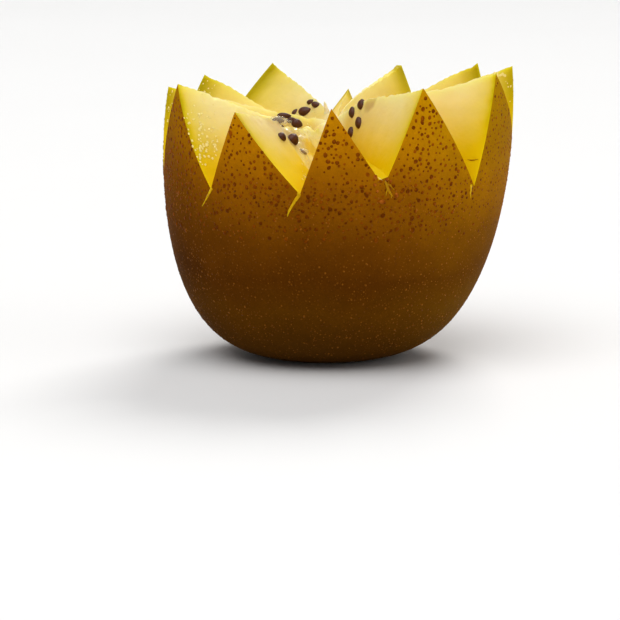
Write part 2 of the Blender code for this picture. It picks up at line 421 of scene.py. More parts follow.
class Bench:
    """Where the nodes of one material are put together."""

    def __init__(self, name):
        self.material = bpy.data.materials.new(name)
        self.material.use_nodes = True
        self.tree = self.material.node_tree
        self.tree.nodes.clear()

    def node(self, kind, settings, sockets):
        """Add a node: its settings first, then the values or links of its sockets."""
        made = self.tree.nodes.new(kind)
        for key, value in settings.items():
            setattr(made, key, value)
        for key, value in sockets.items():
            if isinstance(value, Wire):
                self.tree.links.new(value.socket, made.inputs[key])
            else:
                made.inputs[key].default_value = value
        return made

    def wire(self, kind, settings, sockets, output=0):
        """One output of a new node."""
        return Wire(self, self.node(kind, settings, sockets).outputs[output])

    def math(self, operation, first, second=0.0):
        """One sum, product or other Math node."""
        return self.wire("ShaderNodeMath", {"operation": operation}, {0: first, 1: second})

    def place(self):
        """Place on the object in millimetres."""
        source = self.wire("ShaderNodeTexCoord", {}, {}, "Object")
        return self.wire("ShaderNodeMapping", {}, {"Vector": source, "Scale": (1 / MM, 1 / MM, 1 / MM)})

    def parts(self, vector):
        """The three numbers of a vector."""
        split = self.node("ShaderNodeSeparateXYZ", {}, {"Vector": vector})
        return [Wire(self, split.outputs[axis]) for axis in ("X", "Y", "Z")]

    def vector(self, x, y, z):
        """A vector from three numbers."""
        return self.wire("ShaderNodeCombineXYZ", {}, {"X": x, "Y": y, "Z": z})

    def smooth(self, value, low, high):
        """0 below low, 1 above high, and an even curve between."""
        settings = {"interpolation_type": "SMOOTHSTEP"}
        sockets = {"Value": value, "From Min": low, "From Max": high}
        return self.wire("ShaderNodeMapRange", settings, sockets)

    def clouds(self, vector, size, detail=2.0, roughness=0.5):
        """Soft noise whose lumps are about size millimetres across."""
        sockets = {"Vector": vector, "Scale": 1.0 / size, "Detail": detail, "Roughness": roughness}
        return self.wire("ShaderNodeTexNoise", {}, sockets)

    def cells(self, vector, size):
        """Distance to the middle of the nearest cell, for cells of size millimetres."""
        sockets = {"Vector": vector, "Scale": 1.0 / size}
        return self.wire("ShaderNodeTexVoronoi", {}, sockets, "Distance")

    def ramp(self, value, tones):
        """Screen colours that run into each other as a number goes from 0 to 1."""
        made = self.node("ShaderNodeValToRGB", {}, {"Fac": value})
        stops = made.color_ramp.elements
        while len(stops) < len(tones):
            stops.new(1.0)
        for stop, (share, tone) in zip(stops, tones):
            stop.position = share
            stop.color = screen(*tone)
        return Wire(self, made.outputs[0])

    def mix(self, mask, first, second):
        """First colour where the mask is 0, second where it is 1."""
        return self.wire("ShaderNodeMix", {"data_type": "RGBA"}, {0: mask, 6: first, 7: second}, 2)

    def filtered(self, colour, share):
        """A colour whose red, green and blue are each multiplied by a share."""
        settings = {"data_type": "RGBA", "blend_type": "MULTIPLY"}
        return self.wire("ShaderNodeMix", settings, {0: 1.0, 6: colour, 7: share}, 2)

    def tint(self, colour, strength):
        """A colour made lighter or darker all over by a number."""
        return self.filtered(colour, self.vector(strength, strength, strength))

    def bump(self, height, depth):
        """Surface direction from a height of 0 to 1 that stands for depth millimetres."""
        return self.wire("ShaderNodeBump", {}, {"Height": height, "Strength": 1.0, "Distance": depth * MM})

    def surface(self, sockets):
        """The finished surface and the material it belongs to."""
        shader = self.wire("ShaderNodeBsdfPrincipled", {"subsurface_method": "RANDOM_WALK"}, sockets)
        self.node("ShaderNodeOutputMaterial", {}, {"Surface": shader})
        return self.material


def screen(red, green, blue):
    """Linear colour of a screen colour of 0 to 255."""
    linear = [((part / 255.0 + 0.055) / 1.055) ** 2.4 for part in (red, green, blue)]
    return (*linear, 1.0)


# Materials


def from_stem_axis(bench, x, y, z):
    """Distance from the leaning axis (mm) and angle round it (radians)."""
    across = x - (z * LEAN + STEM_X / MM)
    along = y * (1.0 / DEPTH_RATIO)
    distance = bench.math("SQRT", across * across + along * along)
    angle = bench.math("ARCTAN2", across, 0.0 - along)
    return distance, angle


def skin_material():
    """Thin satin skin: amber at the crown and dark brown at the base, partly its own colour and partly
    painted glow and painted shade; painted shade on the left, painted light low on the right, and olive on
    the right.
    """
    bench = Bench("kiwi_skin")
    place = bench.place()
    x, _, z = bench.parts(place)
    patches = bench.clouds(place, 9.0, 3.0)
    mottle = bench.clouds(place, 1.6, 4.0, 0.6)
    grain = bench.clouds(place, 0.35, 2.0)
    # Colour by height: amber crown and dark base, partly painted glow at the crown and painted shade at the
    # base
    wander = (z + (patches - 0.5) * 7.0) * (1.0 / 45.0)
    body = bench.ramp(wander, SKIN_TONES)
    # Painted shade on the left, painted light on the right below the crown, and painted shade on the right
    # of the crown
    side = x + (patches - 0.5) * 6.0
    painted_right_light = bench.smooth(side, 4.0, 24.0) * (1.0 - bench.smooth(z, 24.0, 38.0))
    painted_side_light = 0.6 + bench.smooth(side, -27.0, -15.0) * 0.32 + painted_right_light * 0.4
    shaded = bench.smooth(side, 16.0, 26.0) * bench.smooth(z, 24.0, 36.0) * 0.2
    olive = 0.82 + bench.smooth(side, 4.0, 22.0) * 0.18
    body = bench.filtered(body, bench.vector(painted_side_light - shaded, (painted_side_light - shaded) * olive, painted_side_light))
    crowded = bench.smooth(bench.clouds(place, 1.7, 2.0), 0.36, 0.62)
    pale = (1.0 - bench.smooth(bench.cells(place, 0.44), 0.08, 0.36)) * crowded
    low = 1.0 - bench.smooth(z, 2.0, 30.0) * 0.6
    colour = bench.tint(body, 0.68 + mottle * 0.34 + grain * 0.32 + pale * low * 0.34)
    relief = grain * 0.4 + mottle * 0.5 + pale * low * 0.4
    return bench.surface({
        "Base Color": colour,
        "Roughness": 0.46 + mottle * 0.2,
        "Normal": bench.bump(relief, 0.12),
        "Specular IOR Level": 0.004,
        "Sheen Weight": 0.03,
        "Sheen Roughness": 0.3,
        "Sheen Tint": screen(255, 186, 50),
    })


def flesh_material():
    """Wet flesh: cream inside, deep yellow low in the notches and olive beside the skin, with painted shade
    beside the skin on the far teeth and on the cut face that turns away from the light.
    """
    bench = Bench("kiwi_flesh")
    place = bench.place()
    x, y, z = bench.parts(place)
    distance, angle = from_stem_axis(bench, x, y, z)
    fibres = bench.clouds(bench.vector(angle * 14.0, distance * 0.12, z * 0.2), 1.0, 3.0, 0.6)
    lumps = bench.clouds(place, 2.4, 3.0)
    cells = bench.cells(place, 0.55)
    depth = EQUATOR_RADIUS / MM - 0.1 - distance + (lumps - 0.5) * 1.0
    far = bench.smooth(y, -4.0, 4.0)
    unripe = 6.0 + far * 9.0 + bench.math("MAXIMUM", y - 4.0, 0.0) * 0.6
    colour = bench.ramp(depth / unripe, FLESH_TONES)
    # Painted shade: the flesh beside the skin on the far teeth is darkened
    colour = bench.tint(colour, 1.0 - far * (1.0 - bench.smooth(depth, 0.5, 6.0)) * 0.24)
    riper = bench.smooth(x, -14.0, 22.0) * 2.6
    deep = 1.0 - bench.smooth(z + (lumps - 0.5) * 2.0 - riper, 30.2, 40.8)
    colour = bench.mix(deep, colour, screen(225, 190, 1))
    past_start, past_end = [bench.smooth(angle, edge - 0.03, edge + 0.03) for edge in SHADED_FACE]
    shaded = past_start * (1.0 - past_end) * (1.0 - deep) * 0.19
    colour = bench.filtered(colour, bench.vector(1.0 - shaded, 1.0 - shaded * 1.2, 1.0 - shaded * 0.5))
    core = 1.0 - bench.smooth(distance + (lumps - 0.5) * 2.0, 2.0, 4.4)
    colour = bench.mix(core * 0.8, colour, screen(248, 234, 188))
    torn = patch_mask(bench, x, y, lumps, TORN_PATCH)
    colour = bench.mix(torn * 0.7, colour, screen(250, 234, 160))
    amber = patch_mask(bench, x, y, cells, AMBER_PATCH)
    colour = bench.mix(amber * 0.75, colour, screen(236, 198, 8))
    film = patch_mask(bench, x, y, lumps, FILM_PATCH)
    colour = bench.mix(film * 0.75, colour, screen(214, 184, 116))
    grey = patch_mask(bench, x, y, lumps, GREY_PATCH)
    colour = bench.mix(grey * 0.65, colour, screen(180, 150, 88))
    wet = bench.math("MAXIMUM", torn, film * 0.7)
    colour = bench.tint(colour, 0.92 + fibres * 0.16)
    relief = fibres * 0.3 + lumps * 0.3 + cells * (0.15 + torn * 0.2)
    return bench.surface({
        "Base Color": colour,
        "Roughness": 0.4 + lumps * 0.2 - wet * 0.24,
        "Normal": bench.bump(relief, 0.12),
        "Subsurface Weight": 0.5,
        "Subsurface Radius": (1.0, 0.85, 0.15),
        "Subsurface Scale": 2.2 * MM,
        "Specular IOR Level": 0.05,
        "Coat Weight": wet * 0.9,
        "Coat Roughness": 0.1,
    })


def patch_mask(bench, x, y, lumps, patch):
    """1 in the middle of an oval patch of the cut and 0 outside it, with a lumpy edge."""
    middle_x, middle_y, half_length, half_width, turn = patch
    cosine, sine = math.cos(math.radians(turn)), math.sin(math.radians(turn))
    right, back = x - middle_x, y - middle_y
    along = right * (cosine / half_length) + back * (sine / half_length)
    across = back * (cosine / half_width) - right * (sine / half_width)
    gap = bench.math("SQRT", across * across + along * along) + (lumps - 0.5) * 0.4
    return 1.0 - bench.smooth(gap, 0.6, 1.05)


def seed_material():
    """Hard dark seed, wet and finely pitted."""
    bench = Bench("kiwi_seed")
    place = bench.place()
    pits = bench.cells(place, 0.16)
    tone = bench.clouds(place, 0.9, 2.0)
    colour = bench.mix(tone, screen(96, 46, 18), screen(52, 22, 8))
    return bench.surface({
        "Base Color": colour,
        "Roughness": 0.34 + tone * 0.2,
        "Normal": bench.bump(pits, 0.03),
        "Specular IOR Level": 0.3,
        "Coat Weight": 0.15,
        "Coat Roughness": 0.2,
    })


def spot_material(name, dark, light, painted_right_light):
    """Dull corky spots, each a little different from the next, with painted light on the right by a share
    and painted shade lower down.
    """
    bench = Bench(name)
    place = bench.place()
    x, _, height = bench.parts(place)
    tone = bench.clouds(place, 0.9, 2.0)
    crumbs = bench.clouds(place, 0.16, 2.0)
    # Painted shade lower down and painted light on the right
    shade = bench.smooth(height, 14.0, 36.0) * 0.4 + bench.smooth(x, 4.0, 24.0) * painted_right_light + 0.45 + crumbs * 0.3
    colour = bench.mix(bench.smooth(tone, 0.34, 0.66), screen(*dark), screen(*light))
    return bench.surface({
        "Base Color": bench.tint(colour, shade),
        "Roughness": 0.5,
        "Normal": bench.bump(crumbs, 0.04),
        "Specular IOR Level": 0.05,
        "Specular Tint": screen(255, 160, 60),
    })


def wet_material(name, tone, alpha, roughness):
    """Juice or jelly: a wet gloss over a pale tone."""
    bench = Bench(name)
    lumps = bench.clouds(bench.place(), 0.7, 3.0)
    return bench.surface({
        "Base Color": bench.tint(screen(*tone), 0.9 + lumps * 0.2),
        "Roughness": roughness,
        "Normal": bench.bump(lumps, 0.12),
        "Alpha": alpha,
        "Coat Weight": 0.6,
        "Coat Roughness": 0.06,
    })


def slit_material(name, dark, light):
    """Moist flesh or skin laid open in a thin slit."""
    bench = Bench(name)
    tone = bench.clouds(bench.place(), 0.8, 3.0)
    return bench.surface({
        "Base Color": bench.mix(bench.smooth(tone, 0.35, 0.65), screen(*dark), screen(*light)),
        "Roughness": 0.4,
        "Normal": bench.bump(tone, 0.06),
        "Specular IOR Level": 0.06,
        "Subsurface Weight": 0.3,
        "Subsurface Radius": (1.0, 0.7, 0.12),
        "Subsurface Scale": 0.8 * MM,
    })


def floor_material():
    """Plain pale floor."""
    bench = Bench("pale_floor")
    place = bench.place()
    tone = bench.clouds(place, 180.0, 2.0)
    colour = bench.tint(screen(234, 234, 234), 0.98 + tone * 0.03)
    return bench.surface({"Base Color": colour, "Roughness": 0.9, "Specular IOR Level": 0.1})


# Shape of the fruit


def body_radius(height):
    """Radius of the whole fruit at heights over the table."""
    share = np.abs(height - EQUATOR_HEIGHT) / (EQUATOR_HEIGHT + POLE_OVERRUN)
    return EQUATOR_RADIUS * (1.0 - share ** ALONG_POWER) ** (1.0 / ROUND_POWER)


def skin_line():
    """Outer line from the top of the whole blank to the middle of the stem scar, by arc length."""
    heights = BLANK_TOP * (1.0 - np.linspace(0.0, 1.0, BODY_STEPS)) ** 2
    radii = body_radius(heights)
    scar_radii = [SCAR_RADIUS + SCAR_LIP, SCAR_RADIUS, 0.5 * (SCAR_RADIUS + SCAR_FLOOR_RADIUS)]
    scar_heights = [0.0, 0.18 * SCAR_DEPTH, 0.7 * SCAR_DEPTH]
    radii = np.concatenate([radii, scar_radii, [SCAR_FLOOR_RADIUS, 0.0]])
    heights = np.concatenate([heights, scar_heights, [SCAR_DEPTH, SCAR_DEPTH]])
    steps = np.hypot(np.diff(radii), np.diff(heights))
    arc = np.concatenate([[0.0], np.cumsum(steps)])
    return arc, radii, heights


def skin_place(turn, height, radius):
    """Points on the skin from angle round the stem, height and radius."""
    across = STEM_X + radius * np.sin(turn) + LEAN * height
    along = -DEPTH_RATIO * radius * np.cos(turn)
    return np.stack([across, along, height + 0.0 * across], axis=-1)


def mark_points():
    """Tips and notches in order round the fruit: point, swell, and 1 for a tip or 0 for a notch."""
    marks = [(*tooth, 1.0) for tooth in TEETH] + [(*notch, 0.0) for notch in NOTCHES]
    points = []
    for angle, height, swell, tip in sorted(marks):
        rise = np.array(height * MM)
        points.append((skin_place(math.radians(angle), rise, body_radius(rise)), swell * MM, tip))
    return points


def share_spokes(points):
    """Number of spokes for each cut face, by the length of its edge on the skin."""
    ends = [point for point, _, _ in points]
    lengths = [np.linalg.norm(ends[index] - ends[index - 1]) for index in range(len(ends))]
    lengths = lengths[1:] + lengths[:1]
    shares = [max(4, int(SPOKES * length / sum(lengths))) for length in lengths]
    for index in range(SPOKES - sum(shares)):
        shares[index % len(shares)] += 1
    return shares


def spoke_lines():
    """Direction, swell and nearness to a ridge of every spoke from the middle of the cut."""
    points = mark_points()
    centre = np.array(CUT_CENTRE)
    reach, swell, ridge = [], [], []
    for index, count in enumerate(share_spokes(points)):
        here = points[index]
        after = points[(index + 1) % len(points)]
        for step in range(count):
            part = step / count
            reach.append((1.0 - part) * (here[0] - centre) + part * (after[0] - centre))
            swell.append((1.0 - part) * here[1] + part * after[1])
            ridge.append((1.0 - part) * here[2] + part * after[2])
    return np.array(reach), np.array(swell), np.array(ridge)


def outside_skin(points):
    """Above 0 outside the skin and below 0 inside it."""
    across = points[:, 0] - STEM_X - LEAN * points[:, 2]
    along = points[:, 1] / DEPTH_RATIO
    return np.hypot(across, along) - body_radius(points[:, 2])


def edge_shares(reach):
    """How far along each spoke the skin lies."""
    low = np.full(len(reach), 0.5)
    high = np.full(len(reach), 1.3)
    for _ in range(HALVINGS):
        half = 0.5 * (low + high)
        outside = outside_skin(np.array(CUT_CENTRE) + half[:, None] * reach) > 0.0
        high = np.where(outside, half, high)
        low = np.where(outside, low, half)
    return 0.5 * (low + high)


def torn_share(place):
    """1 in the torn wet hollow left of the core and 0 away from it."""
    gap = math.hypot((place.x - TORN_CENTRE[0]) / TORN_RADII[0], (place.y - TORN_CENTRE[1]) / TORN_RADII[1])
    gap += 0.12 * noise.noise(place / 1.8)
    fade = min(1.0, max(0.0, (1.0 - gap) / 0.16))
    return fade * fade * (3.0 - 2.0 * fade)


def flesh_relief(point, ridge, share):
    """Rise of the cut face: knife waves, nicks on the ridges and the torn middle."""
    place = point / MM
    waves = 0.12 * noise.noise(place / 2.6) + 0.04 * noise.noise(place / 0.9)
    nicks = -0.45 * abs(noise.noise(place / 1.3 + Vector((7.0, 3.0, 1.0)))) * ridge ** 6
    rough = 0.7 * noise.noise(place / 1.9) + 0.22 * noise.noise(place / 0.8)
    torn = torn_share(place) * (0.8 * rough - TORN_DEPTH)
    middle = max(0.0, 1.0 - share / 0.2) * 0.4 * rough
    fade = min(1.0, (1.0 - share) / 0.04)
    return (waves + nicks + torn + middle) * MM * fade


def skin_relief(point):
    """How far the skin sinks below its even form, always inwards."""
    place = point / MM
    swell = 0.5 + 0.5 * noise.noise(place / 11.0)
    dents = 0.5 + 0.5 * noise.noise(place / 3.4)
    return (0.07 * swell + 0.03 * dents) * MM


def fruit_grid():
    """Points of the whole fruit, ring by ring from the middle of the cut to the stem scar."""
    reach, swell, ridge = spoke_lines()
    shares = edge_shares(reach)
    centre = np.array(CUT_CENTRE)
    edge = centre + shares[:, None] * reach
    rings = []
    for ring in range(FLESH_RINGS):
        part = (ring / FLESH_RINGS) ** RING_CROWDING
        along = shares * part
        inner = np.clip(along, 0.0, 1.0)
        points = centre + along[:, None] * reach
        points[:, 2] += SWELL_CURVE * swell * inner * (1.0 - inner) ** 2
        for spoke in range(SPOKES):
            points[spoke, 2] += flesh_relief(Vector(points[spoke]), ridge[spoke], part)
        if ring == 0:
            points[:] = points.mean(axis=0)
        rings.append(points)
    arc, radii, heights = skin_line()
    turn = np.arctan2(edge[:, 0] - STEM_X - LEAN * edge[:, 2], -edge[:, 1] / DEPTH_RATIO)
    start = np.interp(-edge[:, 2], -heights[:BODY_STEPS], arc[:BODY_STEPS])
    for ring in range(SKIN_RINGS + 1):
        place = start + (arc[-1] - start) * ring / SKIN_RINGS
        radius = np.interp(place, arc, radii)
        height = np.interp(place, arc, heights)
        points = skin_place(turn, height, radius)
        for spoke in range(SPOKES):
            share = min(1.0, radius[spoke] / EQUATOR_RADIUS)
            sink = skin_relief(Vector(points[spoke])) * share ** 2 / max(radius[spoke], MM)
            points[spoke, 0] -= sink * (points[spoke, 0] - STEM_X - LEAN * height[spoke])
            points[spoke, 1] -= sink * points[spoke, 1]
        rings.append(points)
    return rings


def make_fruit(skin, flesh):
    """Shape a sphere into the half fruit: its upper part becomes the cut and the rest the skin."""
    ring_total = FLESH_RINGS + SKIN_RINGS
    clear_selection()
    bpy.ops.mesh.primitive_uv_sphere_add(segments=SPOKES, ring_count=ring_total, radius=1.0)
    fruit = name_active("kiwi_half")
    mesh = fruit.data
    ball = np.empty(len(mesh.vertices) * 3)
    mesh.vertices.foreach_get("co", ball)
    ball = ball.reshape(-1, 3)
    ring_of = np.rint(np.arccos(np.clip(ball[:, 2], -1.0, 1.0)) / math.pi * ring_total).astype(int)
    turn = np.arctan2(ball[:, 1], ball[:, 0]) / (2.0 * math.pi) * SPOKES
    spoke_of = np.rint(turn).astype(int) % SPOKES
    grid = np.array(fruit_grid())
    mesh.vertices.foreach_set("co", grid[ring_of, spoke_of].ravel())
    mesh.materials.append(skin)
    mesh.materials.append(flesh)
    for face in mesh.polygons:
        on_cut = all(ring_of[corner] <= FLESH_RINGS for corner in face.vertices)
        face.material_index = FLESH if on_cut else SKIN
    mesh.update()
    activate(fruit)
    bpy.ops.object.shade_smooth_by_angle(angle=math.radians(CREASE_ANGLE))
    return fruit


# Camera, light and floor


def place_camera():
    """Camera of the photograph: a long lens, a little above the fruit."""
    rise = math.radians(CAMERA_RISE)
    aim = Vector((STEM_X, 0.0, AIM_HEIGHT))
    back = Vector((0.0, -math.cos(rise), math.sin(rise)))
    right_by = math.atan((AIM_PIXEL[0] - PHOTO_SIDE / 2) / FOCAL)
    up_by = math.atan((PHOTO_SIDE / 2 - AIM_PIXEL[1]) / FOCAL)
    clear_selection()
    bpy.ops.object.camera_add(location=aim + CAMERA_DISTANCE * back)
    camera = bpy.context.object
    camera.name = "camera"
    camera.rotation_euler = Euler((math.pi / 2 - rise - up_by, 0.0, right_by), "XYZ")
    camera.data.sensor_width = SENSOR
    camera.data.lens = LENS
    camera.data.clip_start = 0.01
    camera.data.clip_end = 20.0
    bpy.context.scene.camera = camera
    bpy.context.view_layer.update()
    return camera


def pixel_ray(camera, pixel):
    """Start and direction of the line of sight through a pixel of the photograph."""
    local = Vector(((pixel[0] - PHOTO_SIDE / 2) / FOCAL, (PHOTO_SIDE / 2 - pixel[1]) / FOCAL, -1.0))
    return camera.matrix_world.translation, (camera.matrix_world.to_3x3() @ local).normalized()


def add_sun(name, azimuth, elevation, strength, softness, colour):
    """Far lamp; azimuth is the side it shines from, counted from the camera's side to the right."""
    clear_selection()
    turn, rise = math.radians(azimuth), math.radians(elevation)
    away = Vector((math.sin(turn) * math.cos(rise), -math.cos(turn) * math.cos(rise), math.sin(rise)))
    bpy.ops.object.light_add(type="SUN", location=away)
    lamp = bpy.context.object
    lamp.name = name
    lamp.data.energy = strength
    lamp.data.angle = math.radians(softness)
    lamp.data.color = colour
    lamp.rotation_euler = (-away).to_track_quat("-Z", "Y").to_euler()


def light_scene():
    """Broad soft light from behind and from above, and weaker light from the right and all round."""
    for sun in SUNS:
        add_sun(*sun)
    world = bpy.data.worlds.new("pale_room")
    world.use_nodes = True
    background = world.node_tree.nodes["Background"]
    background.inputs["Color"].default_value = (1.0, 1.0, 1.0, 1.0)
    background.inputs["Strength"].default_value = ROOM_STRENGTH
    bpy.context.scene.world = world
    bpy.context.scene.view_settings.view_transform = "Standard"


def make_floor():
    """Wide pale floor that sweeps up into a wall far behind."""
    clear_selection()
    bpy.ops.mesh.primitive_plane_add(size=FLOOR_SIDE)
    floor = name_active("floor")
    floor.data.materials.append(floor_material())
    bpy.ops.object.mode_set(mode="EDIT")
    bpy.ops.mesh.select_all(action="DESELECT")
    bpy.ops.mesh.select_mode(type="EDGE")
    bpy.ops.object.mode_set(mode="OBJECT")
    far_side = 0.49 * FLOOR_SIDE
    for edge in floor.data.edges:
        edge.select = all(floor.data.vertices[corner].co.y > far_side for corner in edge.vertices)
    bpy.ops.object.mode_set(mode="EDIT")
    bpy.ops.mesh.extrude_region_move(TRANSFORM_OT_translate={"value": (0.0, 0.0, WALL_HEIGHT)})
    bpy.ops.mesh.select_all(action="DESELECT")
    bpy.ops.object.mode_set(mode="OBJECT")
    for edge in floor.data.edges:
        corners = [floor.data.vertices[corner].co for corner in edge.vertices]
        edge.select = all(corner.y > far_side and corner.z < 0.5 * WALL_HEIGHT for corner in corners)
    bpy.ops.object.mode_set(mode="EDIT")
    bpy.ops.mesh.bevel(offset=SWEEP_RADIUS, segments=16, affect="EDGES")
    bpy.ops.object.mode_set(mode="OBJECT")
    bpy.ops.object.shade_smooth()


# Small pieces on the fruit


def scatter(name, template, places, material, jitter=0.0):
    """Copies of one small form, one at each place, as a single mesh kept inside the frame's box."""
    shape = np.array([corner.co[:] for corner in template.data.vertices])
    faces = [tuple(face.vertices) for face in template.data.polygons]
    shaker = np.random.default_rng(len(places))
    points = []
    all_faces = []
    for number, place in enumerate(places):
        matrix = np.array(place)
        rough = shape * (1.0 + jitter * shaker.standard_normal((len(shape), 1)))
        points.append(rough @ matrix[:3, :3].T + matrix[:3, 3])
        first = number * len(shape)
        all_faces.extend(tuple(first + corner for corner in face) for face in faces)
    corners = np.clip(np.concatenate(points), cad_box[0], cad_box[1])
    mesh = bpy.data.meshes.new(name)
    mesh.from_pydata(corners.tolist(), [], all_faces)
    mesh.materials.append(material)
    piece = bpy.data.objects.new(name, mesh)
    bpy.context.scene.collection.objects.link(piece)
    bpy.data.objects.remove(template, do_unlink=True)
    activate(piece)
    bpy.ops.object.shade_smooth()
    return piece


def finish_piece(piece):
    """Let a piece move with the fruit."""
    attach(piece, "root")


def standing_frame(point, normal, lengthways, sizes):
    """Matrix that puts a unit form on a surface: sizes are width, length along one way, thickness (mm)."""
    up = normal.normalized()
    side = lengthways.cross(up).normalized()
    front = up.cross(side)
    matrix = Matrix((side * sizes[0] * MM, front * sizes[1] * MM, up * sizes[2] * MM)).transposed().to_4x4()
    matrix.translation = point
    return matrix


def ball_form(name, segments, rings):
    """Unit ball whose poles point up and down."""
    clear_selection()
    bpy.ops.mesh.primitive_uv_sphere_add(segments=segments, ring_count=rings, radius=0.5)
    return name_active(name)


def seed_form():
    """A seed one unit long: a flattened ball, narrower at one end."""
    seed = ball_form("seed_form", 20, 14)
    for corner in seed.data.vertices:
        x, y, z = corner.co
        narrow = 1.0 - 0.35 * (z + 0.5) ** 2
        corner.co = (x * narrow, z, y * narrow)
    seed.data.flip_normals()
    return seed


def seen_by(camera, fruit, pixel):
    """Point and normal of the fruit under a pixel, and the way there from the camera."""
    start, way = pixel_ray(camera, pixel)
    _, point, normal, _ = fruit.ray_cast(start, way)
    return point, normal, way


def met(fruit, hit, face, material):
    """Whether a line cast at the fruit met a face in one of its materials."""
    return hit and fruit.data.polygons[face].material_index == material


def towards_viewer(normal, way):
    """Direction between the surface's own and the way back to the camera."""
    return (0.6 * normal - way).normalized()


def in_picture(camera, slant):
    """Direction that slants by an angle in the picture (degrees from level)."""
    turned = Vector((math.cos(math.radians(slant)), math.sin(math.radians(slant)), 0.0))
    return camera.matrix_world.to_3x3() @ turned


def seen_seed_places(camera, fruit):
    """Places of the seeds that the photograph shows."""
    places = []
    for pixel, length, width, slant, sunk in SEEN_SEEDS:
        point, normal, way = seen_by(camera, fruit, pixel)
        facing = towards_viewer(normal, way)
        thick = SEED_THICKNESS * width
        point = point + facing * thick * MM * (SEED_OUT - sunk)
        places.append(standing_frame(point, facing, in_picture(camera, slant), (width, length, thick)))
    return places


def back_seed_places(fruit):
    """Places of the seeds on the faces turned away from the camera."""
    places = []
    for angle, distance, turn, size in BACK_SEEDS:
        swing = math.radians(angle)
        outwards = Vector((math.sin(swing), -math.cos(swing), 0.0))
        above = Vector((CORE_X, 0.0, DROP_HEIGHT)) * MM + outwards * distance * MM
        _, point, normal, _ = fruit.ray_cast(above, DOWN)
        lengthways = Matrix.Rotation(math.radians(turn), 3, "Z") @ outwards
        sizes = [size * side for side in BACK_SEED_SIZE]
        places.append(standing_frame(point - normal * BACK_SEED_SINK * MM, normal, lengthways, sizes))
    return places


def make_seeds(camera, fruit):
    """All bare seeds."""
    places = seen_seed_places(camera, fruit) + back_seed_places(fruit)
    finish_piece(scatter("seeds", seed_form(), places, seed_material()))


def make_jelly(camera, fruit):
    """Films of clear jelly over some of the seeds."""
    places = []
    for pixel, width, height, thick in JELLY:
        point, normal, way = seen_by(camera, fruit, pixel)
        facing = towards_viewer(normal, way)
        places.append(standing_frame(point, facing, in_picture(camera, 90.0), (width, height, thick)))
    material = wet_material("kiwi_jelly", (246, 232, 196), 0.26, 0.15)
    jelly = scatter("seed_jelly", ball_form("jelly_form", 20, 12), places, material, 0.05)
    finish_piece(jelly)


def juice_places(camera, fruit):
    """Places of the juice beads: those that the photograph shows, then some on the faces turned away."""
    chance = random.Random(JUICE_DRAW)
    places = []
    for (left, top, right, bottom), count, least, most in JUICE:
        for _ in range(count):
            pixel = (chance.uniform(left, right), chance.uniform(top, bottom))
            hit, point, normal, face = fruit.ray_cast(*pixel_ray(camera, pixel))
            width = chance.uniform(least, most)
            if met(fruit, hit, face, FLESH):
                places.append(bead_frame(point, normal, width, chance))
    for _ in range(FAR_JUICE):
        swing = chance.uniform(-math.pi, math.pi)
        distance = FAR_JUICE_REACH * math.sqrt(chance.uniform(0.1, 1.0)) * MM
        across, along = distance * math.sin(swing), distance * math.cos(swing)
        above = Vector((CORE_X * MM + across, along, DROP_HEIGHT * MM))
        hit, point, normal, face = fruit.ray_cast(above, DOWN)
        width = chance.uniform(*FAR_JUICE_WIDTHS)
        if met(fruit, hit, face, FLESH) and normal.y > 0.1:
            places.append(bead_frame(point, normal, width, chance))
    return places


def bead_frame(point, normal, width, chance):
    """Place of one bead of juice, a low drop on the surface."""
    across = normal.cross(UP).normalized()
    length = width * chance.uniform(1.0, 1.4)
    return standing_frame(point, normal, normal.cross(across), (width, length, JUICE_RISE * width))


def make_juice(camera, fruit):
    """Beads of juice on the cut."""
    material = wet_material("kiwi_juice", (246, 224, 128), 1.0, 0.5)
    juice = scatter("juice_beads", ball_form("bead_form", 8, 6), juice_places(camera, fruit), material)
    finish_piece(juice)


def skin_sites(fruit, count, heights, gap, chance):
    """Scattered places on the skin, fewest at the lower limit, clear of each other and of the cut."""
    arc, radii, levels = skin_line()
    ends = [-heights[1] * MM, -heights[0] * MM]
    first, last = np.interp(ends, -levels[:BODY_STEPS], arc[:BODY_STEPS])
    points = np.empty((0, 3))
    sites = []
    for _ in range(count * 3):
        along = chance.uniform(first, last)
        radius, height = np.interp(along, arc, radii), np.interp(along, arc, levels)
        thinned = min(1.0, THINNEST + (height / MM - heights[0]) / THINNED_RISE)
        if chance.random() > thinned * radius / EQUATOR_RADIUS or len(sites) >= count:
            continue
        turn = chance.uniform(-math.pi, math.pi)
        point = Vector(skin_place(turn, height, radius))
        if len(sites) and np.min(np.sum((points - np.array(point)) ** 2, axis=1)) < (gap * MM) ** 2:
            continue
        below = np.interp(along + SLOPE_STEP * MM, arc, radii) - radius
        drop = height - np.interp(along + SLOPE_STEP * MM, arc, levels)
        out = Vector((math.sin(turn) * drop, -math.cos(turn) * drop, below)).normalized()
        if on_skin(fruit, point, out, SPOT_MARGIN * MM):
            points = np.vstack([points, np.array(point)])
            sites.append((point, out))
    return sites


def under(fruit, point, out):
    """Hit, point, normal and face of the fruit within a millimetre of a place near its skin."""
    return fruit.ray_cast(point + out * MM, -out, distance=2.0 * MM)


def on_skin(fruit, point, out, margin):
    """Whether the skin lies under a place and just above and beside it."""
    side = out.cross(UP).normalized()
    up = side.cross(out)
    for shift in (Vector(), side * margin, side * -margin, up * margin):
        hit, _, _, face = under(fruit, point + shift, out)
        if not met(fruit, hit, face, SKIN):
            return False
    return True


